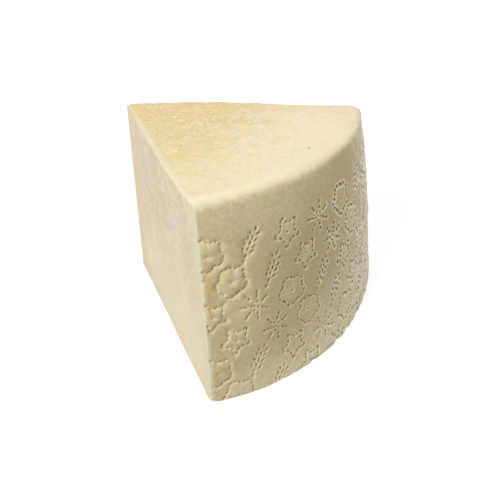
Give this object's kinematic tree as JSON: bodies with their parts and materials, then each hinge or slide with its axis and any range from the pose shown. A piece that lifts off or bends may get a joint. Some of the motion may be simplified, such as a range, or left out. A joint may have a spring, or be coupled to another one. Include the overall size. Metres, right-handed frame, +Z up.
{
  "type": "pecorino cheese wedge",
  "caption": "Wedge of hard ewe's-milk cheese with flat knife-cut faces, a flat top, a rounded shoulder and a barrel-curved rind pressed with dotted ornaments.",
  "frame": {"origin": "centre of the base of the bounding box, on the surface that the wedge stands on", "axes": "+Z up; the tip of the wedge points to +Y and the middle of the rind faces -Y, so X runs across the rind"},
  "size_m": [0.1838, 0.1656, 0.1245],
  "materials": {
    "cheese": "matte, faintly waxy rind over a close ivory paste"
  },
  "bodies": {
    "root": {"cheese_wedge": "cheese"}
  },
  "joints": []
}
